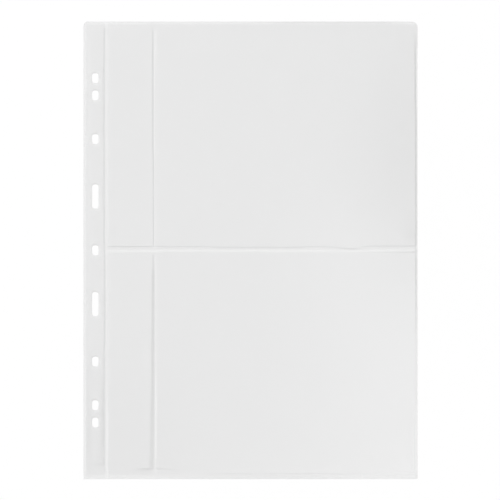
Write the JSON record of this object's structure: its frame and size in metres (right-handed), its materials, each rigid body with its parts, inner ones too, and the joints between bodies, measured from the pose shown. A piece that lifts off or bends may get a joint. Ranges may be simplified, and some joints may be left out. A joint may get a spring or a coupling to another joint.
{
  "type": "banknote album page",
  "caption": "Clear film album page for banknotes, with wide pockets that open at slits beside a binding strip punched for ring binders.",
  "frame": {"origin": "on the back face, under the middle of the page's rectangle", "axes": "+X from the binding strip to the outer edge, +Y to the top of the page, +Z out of the front film"},
  "size_m": [0.233, 0.319, 0.0005],
  "materials": {
    "back_film": "clear soft film, calendered, glossy",
    "front_film": "clear soft film, calendered, glossy, slightly rippled",
    "weld": "clear film melted into one layer by a heated bar, satin"
  },
  "bodies": {
    "binding_strip": {"strip_back_film": "back_film", "strip_front_film": "front_film", "binding_edge_weld": "weld", "strip_top_weld": "weld", "strip_bottom_weld": "weld", "strip_seam_weld": "weld"},
    "page_panel": {"page_back_film": "back_film", "panel_seam_weld": "weld", "top_weld": "weld", "bottom_weld": "weld", "outer_edge_weld": "weld", "divider_weld": "weld", "upper_flap_film": "front_film", "lower_flap_film": "front_film", "upper_pocket_film": "front_film", "lower_pocket_film": "front_film"},
    "upper_flap": {"upper_flap_lip": "front_film"},
    "upper_mouth": {"upper_pocket_lip": "front_film"},
    "lower_flap": {"lower_flap_lip": "front_film"},
    "lower_mouth": {"lower_pocket_lip": "front_film"}
  },
  "joints": [
    {"name": "page_turn", "type": "hinge", "parent": "binding_strip", "child": "page_panel", "pos_m": [-0.1003, 0, 0.00025], "axis": [0, -1, 0], "range_deg": [-150, 150]},
    {"name": "upper_flap_lift", "type": "hinge", "parent": "page_panel", "child": "upper_flap", "pos_m": [-0.098, 0, 0.0005], "axis": [0, -1, 0], "range_deg": [0, 12], "stiffness_Nm_per_rad": 0.002},
    {"name": "upper_mouth_lift", "type": "hinge", "parent": "page_panel", "child": "upper_mouth", "pos_m": [-0.0219, 0, 0.0005], "axis": [0, 1, 0], "range_deg": [0, 10], "stiffness_Nm_per_rad": 0.002},
    {"name": "lower_flap_lift", "type": "hinge", "parent": "page_panel", "child": "lower_flap", "pos_m": [-0.098, 0, 0.0005], "axis": [0, -1, 0], "range_deg": [0, 12], "stiffness_Nm_per_rad": 0.002},
    {"name": "lower_mouth_lift", "type": "hinge", "parent": "page_panel", "child": "lower_mouth", "pos_m": [-0.02135, 0, 0.0005], "axis": [0, 1, 0], "range_deg": [0, 10], "stiffness_Nm_per_rad": 0.002}
  ]
}
